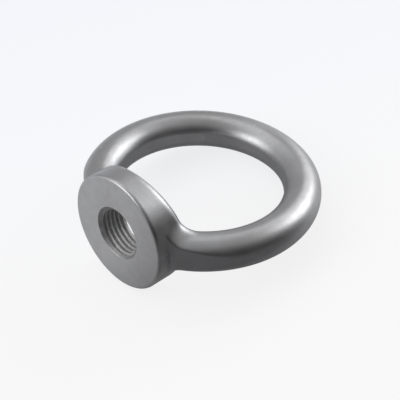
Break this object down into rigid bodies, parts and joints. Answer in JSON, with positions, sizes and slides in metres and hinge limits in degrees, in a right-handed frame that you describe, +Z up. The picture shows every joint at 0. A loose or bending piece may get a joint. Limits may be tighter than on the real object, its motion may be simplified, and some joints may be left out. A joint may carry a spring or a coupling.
{
  "type": "lifting eye nut",
  "caption": "Forged lifting eye nut: a round threaded boss with a hollowed eye side grown into a round-section ring, in satin steel, lying at rest.",
  "frame": {"origin": "middle of the footprint, on the floor plane the nut lies on", "axes": "+Z up from the floor; +X from the seat face of the boss towards the far side of the ring; Y across the ring, along its widest size. The nut lies at rest, so the bore axis leans 11.9 degrees out of the X direction, with the seat face up a little"},
  "size_m": [0.0721, 0.0728, 0.0365],
  "materials": {
    "steel": "satin, fine grained"
  },
  "bodies": {
    "root": {"eye_nut": "steel"}
  },
  "joints": []
}
